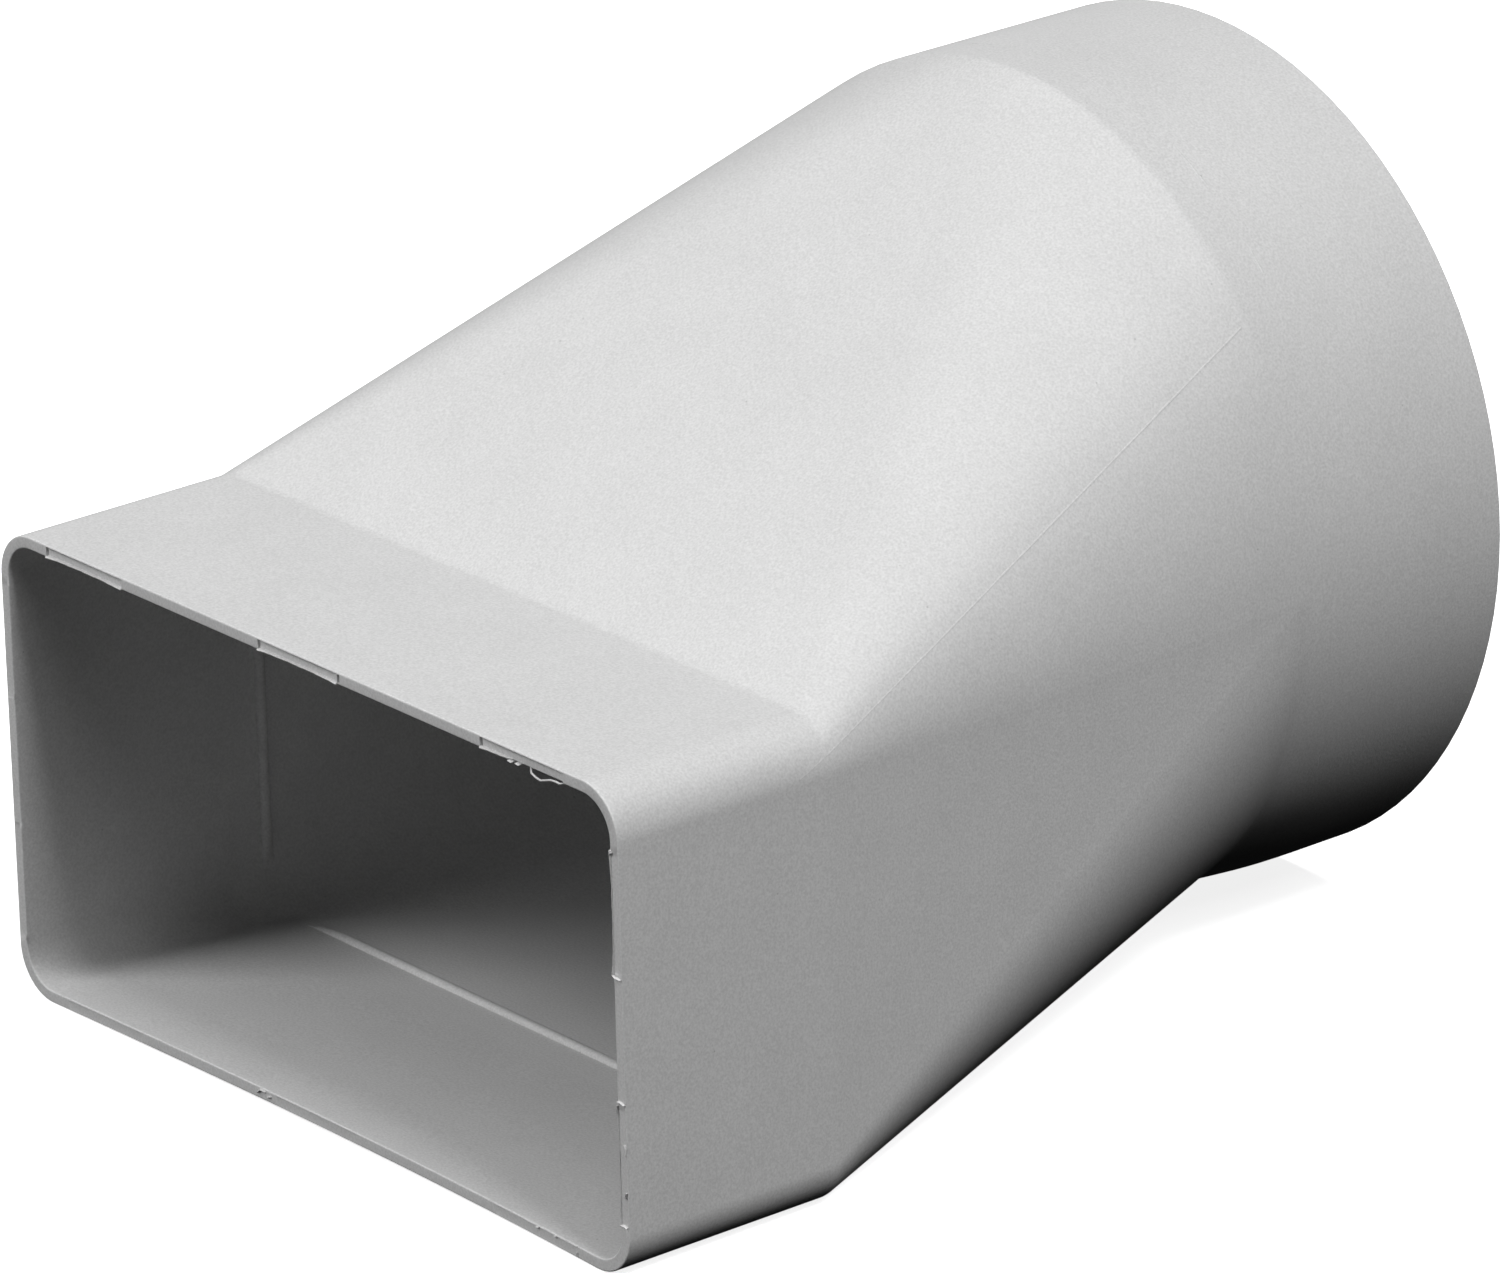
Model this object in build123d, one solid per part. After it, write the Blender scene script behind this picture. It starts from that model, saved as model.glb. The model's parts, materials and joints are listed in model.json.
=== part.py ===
from build123d import *
from collections import namedtuple
from math import cos, pi, sin
import os

# Moulded plastic duct transition: a flat rectangular duct goes in at one end, a round pipe at the other.
# X runs across the flat duct, Y along the air path from the flat mouth to the round one, and Z is up.
# The bottom is level from end to end, and the origin is in its middle. Sizes are in millimetres.

# Socket for the flat duct
duct_width = 110.0
duct_height = 55.0
duct_corner_radius = 4.5
duct_collar_length = 30.0

# Socket for the round pipe
pipe_diameter = 100.0
pipe_collar_length = 30.0

# Wall, and the slope between the two collars, which is laid out in stretches
wall = 1.5
slope_length = 75.0
slope_stretches = 4

# Half-round bead inside each socket, where the duct or the pipe stops, and the flats that round it off
bead_height = 0.6
bead_width = 1.5
bead_setback = 3.8
bead_flats = 4

# Shallow marks in the rim of the flat mouth, left by the blades that pushed the moulding off its core
mark_length = 15.0
mark_width = 0.9
mark_depth = 0.3
mark_columns = 3
mark_column_pitch = 40.0
mark_rows = 2
mark_row_pitch = 30.0

# How far a cutting shape runs past the face that it cuts, and how close two points are when they are one
overrun = 2.0
same_point = 1e-6

# A cross-section of the duct is a rounded rectangle that stands on its own base height.
# A circle is the case whose corners take up the whole width and height.
Section = namedtuple("Section", "width height corner base")

duct_inside = Section(duct_width, duct_height, duct_corner_radius, wall)
pipe_inside = Section(pipe_diameter, pipe_diameter, pipe_diameter / 2, wall)

total_length = duct_collar_length + slope_length + pipe_collar_length
duct_mouth_y = -total_length / 2
duct_fold_y = duct_mouth_y + duct_collar_length
pipe_fold_y = duct_fold_y + slope_length
pipe_mouth_y = pipe_fold_y + pipe_collar_length


def grown(section, amount):
    """The section with a wall of that thickness round it."""
    width, height, corner, base = section
    return Section(width + 2 * amount, height + 2 * amount, corner + amount, base - amount)


def part_way(start, end, distance):
    """The section at that distance along the slope from the one section to the other."""
    share = distance / slope_length
    return Section(*[a + (b - a) * share for a, b in zip(start, end)])


def section_plane(section, y):
    """Upright plane across the duct, with its origin in the middle of the section."""
    middle = (0, y, section.base + section.height / 2)
    return Plane(origin=middle, x_dir=(1, 0, 0), z_dir=(0, -1, 0))


def straight(section, y_from, y_to):
    """Collar, filled in, with the same section all along."""
    if section.corner < section.width / 2:
        outline = RectangleRounded(section.width, section.height, section.corner)
    else:
        outline = Circle(section.corner)
    return extrude(section_plane(section, y_from) * outline, amount=y_to - y_from, dir=(0, 1, 0))


def corner_arcs(section, y):
    """The four corner arcs of a section, quarter turn by quarter turn round it."""
    across = section.width / 2 - section.corner
    up = section.height / 2 - section.corner
    centres = [(across, up), (-across, up), (-across, -up), (across, -up)]
    plane = section_plane(section, y)
    turn = 360 / len(centres)
    arcs = [CenterArc(centre, section.corner, turn * place, turn) for place, centre in enumerate(centres)]
    return [(plane * arc).edge() for arc in arcs]


def straight_edges(arcs):
    """End points of the edges that join each corner arc to the next one round the section."""
    return [(arc @ 1, following @ 0) for arc, following in zip(arcs, arcs[1:] + arcs[:1])]


def end_face(arcs):
    """Flat face across the duct, bounded by the corner arcs and the edges between them."""
    edges = [(start, end) for start, end in straight_edges(arcs) if (end - start).length > same_point]
    return Face(Wire(arcs + [Line(start, end).edge() for start, end in edges]))


def slope(sections):
    """Solid through sections at their distances along the slope, from a rounded rectangle to a circle.

    Each corner arc opens along a cone into a quarter of the circle, and each straight edge
    narrows in a flat triangle to the point where two quarters meet.
    """
    outlines = [corner_arcs(section, duct_fold_y + distance) for distance, section in sections]
    faces = [end_face(outlines[0]), end_face(outlines[-1])]
    for near, far in zip(outlines, outlines[1:]):
        faces += [Face.make_surface_from_curves(near_arc, far_arc) for near_arc, far_arc in zip(near, far)]
        for near_edge, far_edge in zip(straight_edges(near), straight_edges(far)):
            corners = [*near_edge, far_edge[1]]
            if (far_edge[1] - far_edge[0]).length > same_point:
                corners.append(far_edge[0])
            faces.append(Face(Polyline(*corners, close=True).wire()))
    return Solid(Shell(faces))


def duct_solid(duct_section, pipe_section, insets, past_ends):
    """Both collars and the slope between them, filled in, running past the two mouths by that much.

    The insets are pairs of a distance along the slope and how far its surface stands in there.
    """
    sections = [(at, grown(part_way(duct_section, pipe_section, at), -inset)) for at, inset in insets]
    duct_collar = straight(duct_section, duct_mouth_y - past_ends, duct_fold_y)
    pipe_collar = straight(pipe_section, pipe_fold_y, pipe_mouth_y + past_ends)
    return duct_collar + slope(sections) + pipe_collar


def plain_insets(start, end):
    """Insets of nothing, which divide the slope between two distances into its stretches."""
    stretch = (end - start) / slope_stretches
    return [(start + stretch * place, 0) for place in range(slope_stretches + 1)]


def bead_insets(middle):
    """Insets of a half-round bead, from one foot over its crest to the other."""
    turns = [pi * place / bead_flats for place in range(bead_flats + 1)]
    return [(middle - bead_width / 2 * cos(turn), bead_height * sin(turn)) for turn in turns]


def rim_marks(wall_middle):
    """Blocks that press the marks into the rim: rows along the top and bottom, a column on each side."""
    plane = section_plane(wall_middle, duct_mouth_y)
    depth = mark_depth + overrun
    level = plane * GridLocations(mark_column_pitch, wall_middle.height, mark_columns, 2)
    upright = plane * GridLocations(wall_middle.width, mark_row_pitch, 2, mark_rows)
    to_rim = Pos(0, 0, (overrun - mark_depth) / 2)
    blocks = [place * to_rim * Box(mark_length, mark_width, depth) for place in level]
    blocks += [place * to_rim * Box(mark_width, mark_length, depth) for place in upright]
    return blocks


# Inner surface of the slope: a bead near each end, and the plain stretches between them
duct_bead = bead_insets(bead_setback)
pipe_bead = bead_insets(slope_length - bead_setback)
between_beads = plain_insets(duct_bead[-1][0], pipe_bead[0][0])[1:-1]
inner_insets = [(0, 0)] + duct_bead + between_beads + pipe_bead + [(slope_length, 0)]
cavity = duct_solid(duct_inside, pipe_inside, inner_insets, overrun)

duct_outside = grown(duct_inside, wall)
pipe_outside = grown(pipe_inside, wall)
duct_transition = duct_solid(duct_outside, pipe_outside, plain_insets(0, slope_length), 0)
duct_transition -= cavity
duct_transition -= rim_marks(grown(duct_inside, wall / 2))

os.makedirs("parts", exist_ok=True)
export_step(duct_transition, "parts/duct_transition.step")
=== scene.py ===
import json
import math
from collections import namedtuple

import bmesh
import bpy
from mathutils import Matrix, Vector


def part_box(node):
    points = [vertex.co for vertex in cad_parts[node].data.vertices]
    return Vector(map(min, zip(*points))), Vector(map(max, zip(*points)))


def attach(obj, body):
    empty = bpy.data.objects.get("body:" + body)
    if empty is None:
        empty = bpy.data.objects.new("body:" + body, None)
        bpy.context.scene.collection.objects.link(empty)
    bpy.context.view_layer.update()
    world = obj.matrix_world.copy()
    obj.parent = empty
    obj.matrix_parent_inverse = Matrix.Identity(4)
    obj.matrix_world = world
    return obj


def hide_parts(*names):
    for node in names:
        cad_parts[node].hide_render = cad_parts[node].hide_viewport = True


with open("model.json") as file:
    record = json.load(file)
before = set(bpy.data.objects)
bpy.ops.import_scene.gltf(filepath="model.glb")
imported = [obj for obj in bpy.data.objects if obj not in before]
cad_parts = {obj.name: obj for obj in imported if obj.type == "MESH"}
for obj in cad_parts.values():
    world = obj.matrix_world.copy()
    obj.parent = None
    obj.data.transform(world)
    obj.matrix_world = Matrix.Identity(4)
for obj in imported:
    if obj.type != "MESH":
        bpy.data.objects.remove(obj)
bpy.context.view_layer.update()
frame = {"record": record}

# Lengths are in millimetres until a mesh is made, and angles are in degrees.
MM = 0.001

# Sizes that the frame gives
low, high = [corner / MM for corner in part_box("duct_transition")]
mounts = {mount["name"]: mount for mount in frame["record"]["mounts"]}
collar = mounts["round_socket"]["dims"]["length_mm"]
outer_width = high.x - low.x
outer_height = 2 * mounts["flat_duct_socket"]["pos_m"][2] / MM
outer_diameter = high.z - low.z
wall = outer_diameter / 2 - mounts["round_socket"]["dims"]["r_mm"]
flat_mouth = low.y
round_mouth = high.y
flat_fold = flat_mouth + collar
round_fold = round_mouth - collar

# Form of the moulding
corner_radius = 6.0
fold_round = 0.5
edge_round = 0.2

# A half-round bead inside each end, that far past the fold. At the flat end it fades out over an angle
# where the sides meet the corners, and over a length towards the ends of the top and bottom.
bead_height = 0.6
bead_width = 1.4
bead_setback = 5.1
bead_fade = 20.0
bead_run_out = 8.0

# How far the top and bottom of the flat mouth bow upwards, and how much the crown leans to the right
top_bow = 0.05
bottom_bow = 1.0
bow_lean = 0.3

# The round collar has drawn in behind the lower corners of the slope, which runs on until it meets it.
# Angles are down from the side: where the dent starts, where it has its full depth, and where that ends.
pinch_depth = 1.1
pinch_length = 20.0
pinch_span = (30.0, 60.0, 75.0)

# Marks of the ejector blades in the rim of the flat mouth. A mark is a flat pocket with a lip of flash on
# its inner edge that stands proud of the rim and overhangs the mouth, highest at the ends of the mark.
# The shares say how much of the full depth and lip there is on the top, left, bottom and right.
mark_length = 14.4
mark_depth = 0.3
mark_margin = 0.22
mark_ramp = 0.08
mark_columns = (-40.0, 0.0, 40.0)
mark_rows = (-15.0, 15.0)
depth_shares = (1.0, 0.15, 0.15, 0.2)
lip_height = 0.25
lip_width = 0.22
lip_overhang = 0.15
lip_shares = (1.0, 0.25, 0.3, 1.0)

# Share of the lip in the middle and at the ends of a mark, and two waves that make it ragged
lip_middle = 0.15
lip_end = 0.9
lip_rise_power = 3
ragged_height = 0.12
ragged_waves = (2.9, 1.3)
ragged_shift = 0.7

# On the top of the rim, the stretch where the lip is torn off down to the floor of the mark, and a nick
torn_lip = (38.0, 47.3)
rim_nick = (7.35, 7.7)

# A strand of flash hangs from the torn lip, with its ends set back into the rim. Places are X and Z.
flash_setback = 0.02
flash_end_taper = 0.45
strand_radius = 0.12
strand_root = 0.5
strand_places = (
    (41.2, 56.6), (41.9, 56.25), (42.7, 55.95), (43.5, 55.85), (44.3, 56.1), (45.2, 56.4), (46.1, 56.5),
    (46.8, 56.45), (47.3, 56.5),
)

# Flash that stands on the rim: ridges at the ends of the marks on the right, then chips. Each has its
# places in X and Z, then a radius. The reach is how deep they all are, from front to back.
flash_reach = 0.8
flash_bits = (
    (((54.9, 50.6), (55.4, 51.0)), 0.17),
    (((54.9, 36.6), (55.4, 36.35), (56.3, 36.35)), 0.2),
    (((55.1, 21.7), (55.6, 21.75), (56.3, 21.6)), 0.2),
    (((55.1, 7.0), (55.6, 7.05), (56.2, 6.95)), 0.2),
    (((56.1, 16.9), (56.25, 16.4), (56.2, 15.6)), 0.13),
    (((56.0, 10.5), (56.25, 11.2)), 0.13),
    (((37.8, 56.55), (38.4, 56.45)), 0.12),
    (((39.1, 56.6), (39.7, 56.5)), 0.1),
    (((40.0, 1.85), (40.4, 1.85)), 0.14),
    (((43.2, 1.8), (43.5, 1.8)), 0.12),
    (((47.2, 0.6), (47.2, 1.1)), 0.12),
    (((-10.8, 1.6), (-10.2, 2.1), (-9.3, 2.1)), 0.14),
    (((-9.0, 1.6), (-8.3, 1.8)), 0.12),
)

# Faint lines left by the mould: width and height of the ridge, then where the lines run.
# The split line climbs from the flat collar to the round one. Angles are up from the side of the round end.
ridge_width = 0.25
ridge_height = 0.018
ridge_root = 0.1
split_start = (-41.8, 52.7)
split_end = (36.4, 81.8)
split_turn = (43.2, 42.0)
ring_y = 43.0
ring_spans = ((42.0, 45.6), (55.5, 63.4), (75.2, 84.1))
oval_middle = (-0.2, 21.2)
oval_width = 10.6
oval_length = 16.8
arc_middle = (20.5, -65.2)
arc_radius = 12.5
arc_span = (15.0, 95.0)

# Plastic: roughness, greys of the mottling, the grain with the shades that follow it, and dark specks.
# The noise range is the part of a noise that goes from the first grey or shade to the second.
roughness = 0.5
noise_range = (0.3, 0.7)
mottling_size = 11
mottling_detail = 4
mottling_greys = (0.56, 0.58)
grain_size = 0.3
grain_detail = 2
grain_depth = 0.1
grain_strength = 0.2
grain_shades = (0.9, 1.1)
speck_spacing = 5.0
speck_size = 0.3
speck_shade = 0.72

# Spacing of the mesh, which is finer over the blade marks and for a short way behind the round fold
row_spacing = 4.0
edge_spacing = 4.0
mark_spacing = 0.6
behind_fold_spacing = 0.5
behind_fold_length = 4.0
arc_segments = 24
rounding_segments = 4
bead_segments = 12
rim_margin = 1.2
line_spacing = 1.5
turn_spacing = 5
ridge_segments = 4
tube_sides = 8
merge_distance = 0.02
crease_angle = 40.0

# Camera, seen from the point that it aims at
camera_aim = (0.2, -2.47, 43.05)
camera_azimuth = 50.9
camera_elevation = 21.18
camera_distance = 1218.8
camera_roll = -1.455
camera_lens = 254.1
camera_reach_m = 100

# Soft boxes: name, azimuth, elevation, watts and width in metres. All stand at one distance.
soft_boxes = (
    ("right", 90, 54, 24.3, 0.6),
    ("right_low", 90, 44, 7.4, 0.6),
    ("top", 51, 63, 7.2, 0.7),
    ("front_left", -29, 42.5, 23.3, 0.8),
    ("front_low", -20, 2, 6.8, 0.6),
    ("fill", 15, 8, 1.0, 0.6),
    ("back", 231, 6, 2.5, 0.8),
)
soft_box_distance = 2.0
ambient = 0.004

# Floor: width in metres, grey level, roughness, and a glow that keeps it pale
floor_width = 8
floor_grey = 0.9
floor_roughness = 0.9
floor_glow = 0.85

# A station is a place round the section: the corner that it counts from, the angle of its normal, and its
# shares of mark depth, lip and bead. A row is a line along the wall: its place, how far in it lies from the
# outer surface, its shares of mark depth and lip, and the height of the bead there.
Station = namedtuple("Station", "across up angle depth lip bead", defaults=(0.0, 0.0, 1.0))
Row = namedtuple("Row", "y inset recess lip bead", defaults=(0.0, 0.0, 0.0))


def mix(start, end, share):
    return start + (end - start) * share


def clamped(value):
    return min(max(value, 0.0), 1.0)


def eased(value):
    """Share from 0 to 1 that starts and ends gently."""
    share = clamped(value)
    return share * share * (3 - 2 * share)


def spread(start, end, spacing):
    """Evenly spaced places from start to end, about that far apart."""
    count = max(1, round(abs(end - start) / spacing))
    return [mix(start, end, n / count) for n in range(count + 1)]


def share_at(y):
    """How far the section has gone from the rectangle to the circle, with both folds rounded off."""
    def past(fold):
        beyond = y - fold
        if abs(beyond) < fold_round:
            return (beyond + fold_round) ** 2 / (4 * fold_round)
        return max(beyond, 0.0)
    return (past(flat_fold) - past(round_fold)) / (round_fold - flat_fold)


def bow_at(x, y, z):
    """How far the top and bottom of the flat mouth have bowed upwards. It fades out towards the fold."""
    fade = clamped((flat_fold - y) / collar)
    place = 2 * x / outer_width
    crown = (1 - place ** 2) * (1 + bow_lean * place)
    return mix(bottom_bow, top_bow, z / outer_height) * fade * crown


def pinch_at(angle, y):
    """How far the round collar has drawn in at an angle of its lower half, fading towards the mouth."""
    behind = y - round_fold
    if behind < 0 or math.sin(angle) > 0:
        return 0.0
    down = math.asin(-math.sin(angle))
    degrees = math.degrees(down)
    deep = eased((degrees - pinch_span[0]) / (pinch_span[1] - pinch_span[0]))
    deep *= eased((90 - degrees) / (90 - pinch_span[2]))
    narrowing = (outer_width / 2 - corner_radius) * math.cos(down)
    narrowing -= (outer_diameter / 2 - corner_radius) * (1 - math.sin(down))
    slope_runs_on = narrowing * behind / (round_fold - flat_fold)
    return max(0.0, min(slope_runs_on, pinch_depth * deep * eased(1 - behind / pinch_length)))


def surface_point(station, y, inset):
    """Point of the wall at a station round the section, that far in from the outer surface."""
    share = share_at(y)
    radius = mix(corner_radius, outer_diameter / 2, share)
    half_width = mix(outer_width, outer_diameter, share) / 2
    half_height = mix(outer_height, outer_diameter, share) / 2
    angle = math.radians(station.angle)
    inset += pinch_at(angle, y)
    x = station.across * (half_width - radius) + (radius - inset) * math.cos(angle)
    z = half_height + station.up * (half_height - radius) + (radius - inset) * math.sin(angle)
    return Vector((x, y, z + bow_at(x, y, z)))


def inside_share(place, spans):
    """1 inside one of the spans along the rim, 0 outside them, and between on the ramps at their ends."""
    inside = max(min(place - start, end - place) for start, end in spans)
    return clamped(inside / mark_ramp + 0.5)


def lip_at(place, marks):
    """Share of the lip's full height at a place along the rim. It is highest at the ends of a mark."""
    from_end = max(min(place - start, end - place) for start, end in marks)
    from_middle = clamped(1 - 2 * from_end / mark_length)
    ragged = math.sin(ragged_waves[0] * place) * math.sin(ragged_waves[1] * place + ragged_shift)
    share = mix(lip_middle, lip_end, from_middle ** lip_rise_power) + ragged_height * ragged
    return inside_share(place, marks) * clamped(share)


def edge_places(half_length, spans):
    """Places along a straight edge of the mouth, close together in the spans that are cut into its rim."""
    places = [place for place in spread(-half_length, half_length, edge_spacing)[1:-1]
              if inside_share(place, spans) == 0]
    for start, end in spans:
        places += [start - mark_ramp / 2, end + mark_ramp / 2]
        places += spread(start + mark_ramp / 2, end - mark_ramp / 2, mark_spacing)
    return sorted(places)


def make_stations():
    """Stations round the section: each corner's arc, then the straight edge that follows it.

    The bead inside the flat collar fades out where the sides meet the corners, and runs out gently
    towards the ends of the top and bottom.
    """
    corners = [(1, 1), (-1, 1), (-1, -1), (1, -1)]
    stations = []
    for place, (across, up) in enumerate(corners):
        start = 90 * place
        for angle in spread(0, 90, 90 / arc_segments):
            from_side = math.degrees(math.asin(abs(math.sin(math.radians(start + angle)))))
            bead = 1 - eased(from_side / bead_fade)
            stations.append(Station(across, up, start + angle, bead=bead))
        next_across, next_up = corners[(place + 1) % 4]
        level = next_up == up
        half_length = (outer_width if level else outer_height) / 2 - corner_radius
        marks = [(middle - mark_length / 2, middle + mark_length / 2)
                 for middle in (mark_columns if level else mark_rows)]
        top = level and up > 0
        cuts = marks + [rim_nick] if top else marks
        towards = next_across - across + next_up - up
        for distance in sorted(edge_places(half_length, cuts), reverse=towards < 0):
            share = distance / half_length
            depth = depth_shares[place] * inside_share(distance, cuts)
            lip = lip_shares[place] * lip_at(distance, marks)
            if top and torn_lip[0] < distance < torn_lip[1]:
                lip = -mark_depth / lip_height * inside_share(distance, marks)
            if level:
                bead = eased((half_length - abs(distance)) / bead_run_out)
                stations.append(Station(share, up, start + 90, depth, lip, bead))
            else:
                stations.append(Station(across, share, start + 90, depth, lip))
    return stations


def rounded_edge(mouth, inwards, from_outside, lip=0.0):
    """Rows round one edge of a rim, from the outer surface to the rim or from the rim to the inside."""
    rows = []
    for angle in spread(0, 90, 90 / rounding_segments):
        sine = edge_round * math.sin(math.radians(angle))
        cosine = edge_round * math.cos(math.radians(angle))
        if from_outside:
            rows.append(Row(mouth + inwards * (edge_round - sine), edge_round - cosine))
        else:
            rows.append(Row(mouth + inwards * (edge_round - cosine), wall - edge_round + sine, 0.0, lip))
    return rows


def lengthwise_places():
    """Places along the duct from mouth to mouth, close together over the folds."""
    fine = fold_round / rounding_segments
    places = spread(flat_mouth + rim_margin, flat_fold - 2 * fold_round, row_spacing)
    places += spread(flat_fold - fold_round, flat_fold + fold_round, fine)
    places += spread(flat_fold + 2 * fold_round, round_fold - 2 * fold_round, row_spacing)
    places += spread(round_fold - fold_round, round_fold + fold_round, fine)
    fine_end = round_fold + behind_fold_length
    places += spread(round_fold + 2 * fold_round, fine_end, behind_fold_spacing)
    places += spread(fine_end, round_mouth - rim_margin, row_spacing / 2)[1:]
    return places


def inner_rows():
    """Rows of the inner surface, with a half-round bead near each fold. Only the flat end's bead fades."""
    flat_bead = flat_fold + bead_setback
    beads = (flat_bead, round_fold - bead_setback)
    rows = [Row(y, wall) for y in lengthwise_places() if min(abs(y - bead) for bead in beads) > bead_width]
    for bead in beads:
        for turn in spread(0, math.pi, math.pi / bead_segments):
            y = bead - bead_width / 2 * math.cos(turn)
            height = bead_height * math.sin(turn)
            rows.append(Row(y, wall, bead=height) if bead == flat_bead else Row(y, wall + height))
        rows += [Row(bead + side * bead_width, wall) for side in (-1, 1)]
    return sorted(rows)


def flat_rim_rows():
    """Rows across the rim of the flat mouth, from outside to inside, over the blade marks and the lip."""
    rim = flat_mouth + lip_height
    rows = rounded_edge(rim, 1, True)
    rows.append(Row(rim, mark_margin))
    rows.append(Row(rim, mark_margin + mark_ramp, 1.0))
    rows.append(Row(rim, wall - lip_width, 1.0))
    return rows + rounded_edge(rim, 1, False, 1.0)


def make_rows():
    """Rows along the wall: down the outside, round the flat rim, up the inside and round the round rim."""
    rows = [Row(y, 0.0) for y in reversed(lengthwise_places())]
    rows += flat_rim_rows()
    rows += inner_rows()
    rows += reversed(rounded_edge(round_mouth, -1, False))
    rows += reversed(rounded_edge(round_mouth, -1, True))
    return rows


def finished(name, mesh):
    """Object made of a mesh whose faces are all shaded smooth, apart from sharp creases."""
    bmesh.ops.recalc_face_normals(mesh, faces=mesh.faces)
    for face in mesh.faces:
        face.smooth = True
    for edge in mesh.edges:
        edge.smooth = edge.calc_face_angle() < math.radians(crease_angle)
    data = bpy.data.meshes.new(name)
    mesh.to_mesh(data)
    mesh.free()
    piece = bpy.data.objects.new(name, data)
    bpy.context.scene.collection.objects.link(piece)
    return piece


def duct_shell():
    """The moulding as one closed mesh, wrapped both round the section and along the wall."""
    stations = make_stations()
    rows = make_rows()
    mesh = bmesh.new()
    grid = []
    for row in rows:
        ring = []
        for station in stations:
            lip = row.lip * station.lip
            y = row.y + row.recess * station.depth * mark_depth - lip * lip_height
            inset = row.inset + row.bead * station.bead + max(lip, 0.0) * lip_overhang
            ring.append(mesh.verts.new(surface_point(station, y, inset) * MM))
        grid.append(ring)
    for near, far in zip(grid, grid[1:] + grid[:1]):
        for a, b, c, d in zip(near, near[1:] + near[:1], far[1:] + far[:1], far):
            mesh.faces.new((a, b, c, d))
    bmesh.ops.remove_doubles(mesh, verts=mesh.verts, dist=merge_distance * MM)
    shell = finished("duct_shell", mesh)
    weighted = shell.modifiers.new("face_weighted_normals", "WEIGHTED_NORMAL")
    weighted.mode = "FACE_AREA"
    weighted.keep_sharp = True
    return shell


def sweep(mesh, rings, closed=False):
    """Adds a tube through rings of points to a mesh. An open tube is capped at both ends."""
    rings = [[mesh.verts.new(point * MM) for point in ring] for ring in rings]
    following = rings[1:] + rings[:1] if closed else rings[1:]
    for near, far in zip(rings, following):
        for a, b, c, d in zip(near, near[1:] + near[:1], far[1:] + far[:1], far):
            mesh.faces.new((a, b, c, d))
    if not closed:
        mesh.faces.new(rings[0])
        mesh.faces.new(rings[-1])


def round_end(side, angle, y):
    """Point of the outer surface on the upper corner of one side, by angle up from the side."""
    return surface_point(Station(side, 1, 90 - side * (90 - angle)), y, 0.0)


def top_panel(x, y):
    """Point of the outer surface on the flat panel at the top."""
    half_width = mix(outer_width, outer_diameter, share_at(y)) / 2
    radius = mix(corner_radius, outer_diameter / 2, share_at(y))
    return surface_point(Station(x / (half_width - radius), 1, 90), y, 0.0)


def normal_at(locate, u, v):
    """Outward normal of a surface, where locate(u, v) gives its points."""
    small = 0.05
    along_u = locate(u + small, v) - locate(u - small, v)
    along_v = locate(u, v + small) - locate(u, v - small)
    normal = along_u.cross(along_v).normalized()
    return normal if normal.z > 0 else -normal


def ridge(mesh, locate, path, closed=False):
    """Adds a low rounded ridge along a path of (u, v) places on a surface to a mesh."""
    points = [locate(u, v) for u, v in path]
    rings = []
    for place, (u, v) in enumerate(path):
        normal = normal_at(locate, u, v)
        if closed:
            ahead = points[(place + 1) % len(points)] - points[place - 1]
        else:
            ahead = points[min(place + 1, len(points) - 1)] - points[max(place - 1, 0)]
        sideways = ahead.cross(normal).normalized() * ridge_width / 2
        crown = [points[place] + sideways * share + normal * ridge_height * (1 - share ** 2)
                 for share in spread(-1, 1, 2 / ridge_segments)]
        root = [points[place] + sideways * share - normal * ridge_root for share in (1.0, -1.0)]
        rings.append(crown + root)
    sweep(mesh, rings, closed)


def split_path():
    """Angles and lengthwise places of the split line, which rises evenly from end to end."""
    path = []
    for y in spread(split_start[0], split_end[0], line_spacing):
        share = share_at(y)
        radius = mix(corner_radius, outer_diameter / 2, share)
        centre = mix(outer_height - corner_radius, outer_diameter / 2, share)
        rise = (y - split_start[0]) / (split_end[0] - split_start[0])
        z = mix(split_start[1], split_end[1], rise)
        path.append((math.degrees(math.asin((z - centre) / radius)), y))
    return path + [(split_turn[1], split_turn[0])]


def mould_lines():
    """Faint raised lines that the mould left: split line, ring on the round collar, oval and arc on top."""
    mesh = bmesh.new()
    for side in (-1, 1):
        def locate(angle, y):
            return round_end(side, angle, y)
        ridge(mesh, locate, split_path())
        for start, end in ring_spans:
            ridge(mesh, locate, [(angle, ring_y) for angle in spread(start, end, line_spacing)])
    turns = [math.radians(turn) for turn in range(0, 360, turn_spacing)]
    ridge(mesh, top_panel, [(oval_middle[0] + oval_width / 2 * math.cos(turn),
                             oval_middle[1] + oval_length / 2 * math.sin(turn)) for turn in turns], True)
    turns = [math.radians(turn) for turn in spread(*arc_span, turn_spacing)]
    ridge(mesh, top_panel, [(arc_middle[0] + arc_radius * math.cos(turn),
                             arc_middle[1] + arc_radius * math.sin(turn)) for turn in turns])
    return finished("mould_lines", mesh)


def flash_bit(mesh, places, radius, reach, root=0.0):
    """Adds a bit of flash through places on the rim to a mesh. Its ends taper, and root sets them back."""
    front = Vector((0, -1, 0))
    last = len(places) - 1
    points = [Vector((x, flat_mouth + flash_setback + reach / 2, z)) for x, z in places]
    points[0] -= front * root
    points[last] -= front * root
    rings = []
    for place, point in enumerate(points):
        ahead = points[min(place + 1, last)] - points[max(place - 1, 0)]
        sideways = ahead.cross(front).normalized() * radius
        if place in (0, last):
            sideways *= flash_end_taper
        turns = [2 * math.pi * turn / tube_sides for turn in range(tube_sides)]
        rings.append([point + front * reach / 2 * math.cos(turn) + sideways * math.sin(turn)
                      for turn in turns])
    sweep(mesh, rings)


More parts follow.
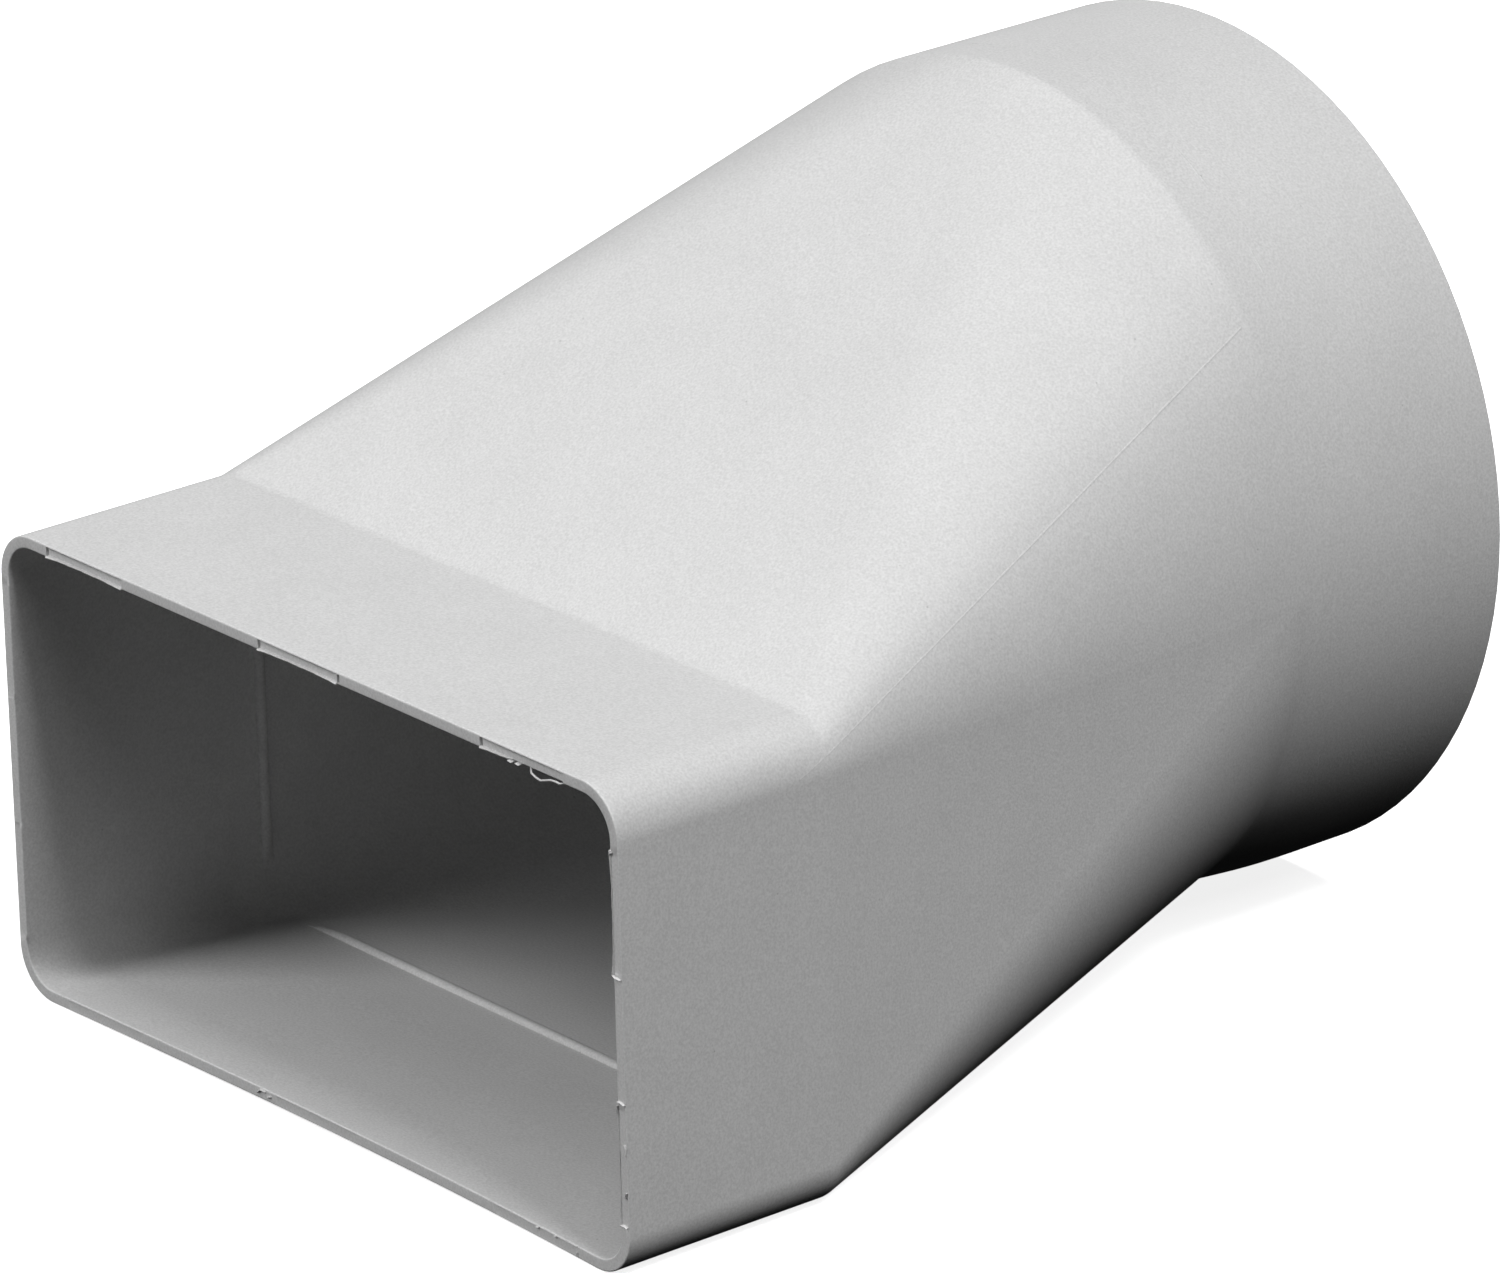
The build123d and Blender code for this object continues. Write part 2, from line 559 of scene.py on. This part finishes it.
def rim_flash():
    """The hanging strand, and the ridges and chips of flash on the rim of the flat mouth."""
    mesh = bmesh.new()
    flash_bit(mesh, strand_places, strand_radius, 2 * strand_radius, strand_root)
    for places, radius in flash_bits:
        flash_bit(mesh, places, radius, flash_reach)
    return finished("rim_flash", mesh)


def plastic():
    """Light grey satin plastic with faint mottling, a fine moulded grain and sparse dark specks."""
    material = bpy.data.materials.new("moulded_plastic")
    material.use_nodes = True
    nodes = material.node_tree.nodes
    links = material.node_tree.links
    shader = nodes["Principled BSDF"]
    shader.inputs["Roughness"].default_value = roughness
    coordinates = nodes.new("ShaderNodeTexCoord").outputs["Object"]

    def noise(size, detail):
        """Noise whose blotches are about that many millimetres wide."""
        node = nodes.new("ShaderNodeTexNoise")
        node.inputs["Scale"].default_value = 1 / (size * MM)
        node.inputs["Detail"].default_value = detail
        links.new(coordinates, node.inputs["Vector"])
        return node.outputs["Fac"]

    def ramp(source, *stops):
        """Grey that follows a source, through stops of a place and a grey level."""
        node = nodes.new("ShaderNodeValToRGB")
        for element, (place, level) in zip(node.color_ramp.elements, stops):
            element.position = place
            element.color = (level, level, level, 1)
        links.new(source, node.inputs["Fac"])
        return node.outputs["Color"]

    def multiplied(first, second):
        node = nodes.new("ShaderNodeVectorMath")
        node.operation = "MULTIPLY"
        links.new(first, node.inputs[0])
        links.new(second, node.inputs[1])
        return node.outputs["Vector"]

    cells = nodes.new("ShaderNodeTexVoronoi")
    cells.inputs["Scale"].default_value = 1 / (speck_spacing * MM)
    links.new(coordinates, cells.inputs["Vector"])
    speck_edge = speck_size / 2 / speck_spacing
    specks = ramp(cells.outputs["Distance"], (speck_edge / 2, speck_shade), (speck_edge, 1.0))
    mottling = ramp(noise(mottling_size, mottling_detail), *zip(noise_range, mottling_greys))
    grain = noise(grain_size, grain_detail)
    flecks = ramp(grain, *zip(noise_range, grain_shades))
    links.new(multiplied(multiplied(mottling, flecks), specks), shader.inputs["Base Color"])

    bump = nodes.new("ShaderNodeBump")
    bump.inputs["Strength"].default_value = grain_strength
    bump.inputs["Distance"].default_value = grain_depth * MM
    links.new(grain, bump.inputs["Height"])
    links.new(bump.outputs["Normal"], shader.inputs["Normal"])
    return material


def pale_floor():
    material = bpy.data.materials.new("pale_floor")
    material.use_nodes = True
    shader = material.node_tree.nodes["Principled BSDF"]
    shader.inputs["Base Color"].default_value = (floor_grey, floor_grey, floor_grey, 1)
    shader.inputs["Roughness"].default_value = floor_roughness
    shader.inputs["Emission Color"].default_value = (1, 1, 1, 1)
    shader.inputs["Emission Strength"].default_value = floor_glow
    bpy.ops.mesh.primitive_plane_add(size=floor_width)
    floor = bpy.context.object
    floor.name = "floor"
    floor.data.materials.append(material)
    floor.visible_diffuse = False
    floor.visible_glossy = False
    return floor


def direction(azimuth, elevation):
    """Unit vector towards that azimuth and elevation. Azimuth 0 is in front of the flat mouth."""
    a = math.radians(azimuth)
    e = math.radians(elevation)
    return Vector((math.sin(a) * math.cos(e), -math.cos(a) * math.cos(e), math.sin(e)))


def soft_light(name, azimuth, elevation, distance, size, power):
    """Square area light that faces the object and doesn't show in the picture."""
    data = bpy.data.lights.new(name, "AREA")
    data.size = size
    data.energy = power
    light = bpy.data.objects.new(name, data)
    bpy.context.scene.collection.objects.link(light)
    towards = direction(azimuth, elevation)
    light.location = Vector(camera_aim) * MM + towards * distance
    light.rotation_euler = towards.to_track_quat("Z", "Y").to_euler()
    light.visible_camera = False


def photo_camera():
    data = bpy.data.cameras.new("camera")
    data.lens = camera_lens
    data.clip_end = camera_reach_m
    camera = bpy.data.objects.new("camera", data)
    bpy.context.scene.collection.objects.link(camera)
    towards = direction(camera_azimuth, camera_elevation)
    place = Matrix.Translation((Vector(camera_aim) + towards * camera_distance) * MM)
    turn = towards.to_track_quat("Z", "Y").to_matrix().to_4x4()
    camera.matrix_world = place @ turn @ Matrix.Rotation(math.radians(camera_roll), 4, "Z")
    return camera


material = plastic()
shell = duct_shell()
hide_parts("duct_transition")
for piece in (shell, mould_lines(), rim_flash()):
    piece.data.materials.append(material)
    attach(piece, "root")

floor = pale_floor()

for name, azimuth, elevation, power, width in soft_boxes:
    soft_light(name, azimuth, elevation, soft_box_distance, width, power)
world = bpy.data.worlds.new("studio")
world.use_nodes = True
world.node_tree.nodes["Background"].inputs["Color"].default_value = (1, 1, 1, 1)
world.node_tree.nodes["Background"].inputs["Strength"].default_value = ambient
bpy.context.scene.world = world
bpy.context.scene.view_settings.view_transform = "Standard"
bpy.context.scene.camera = photo_camera()
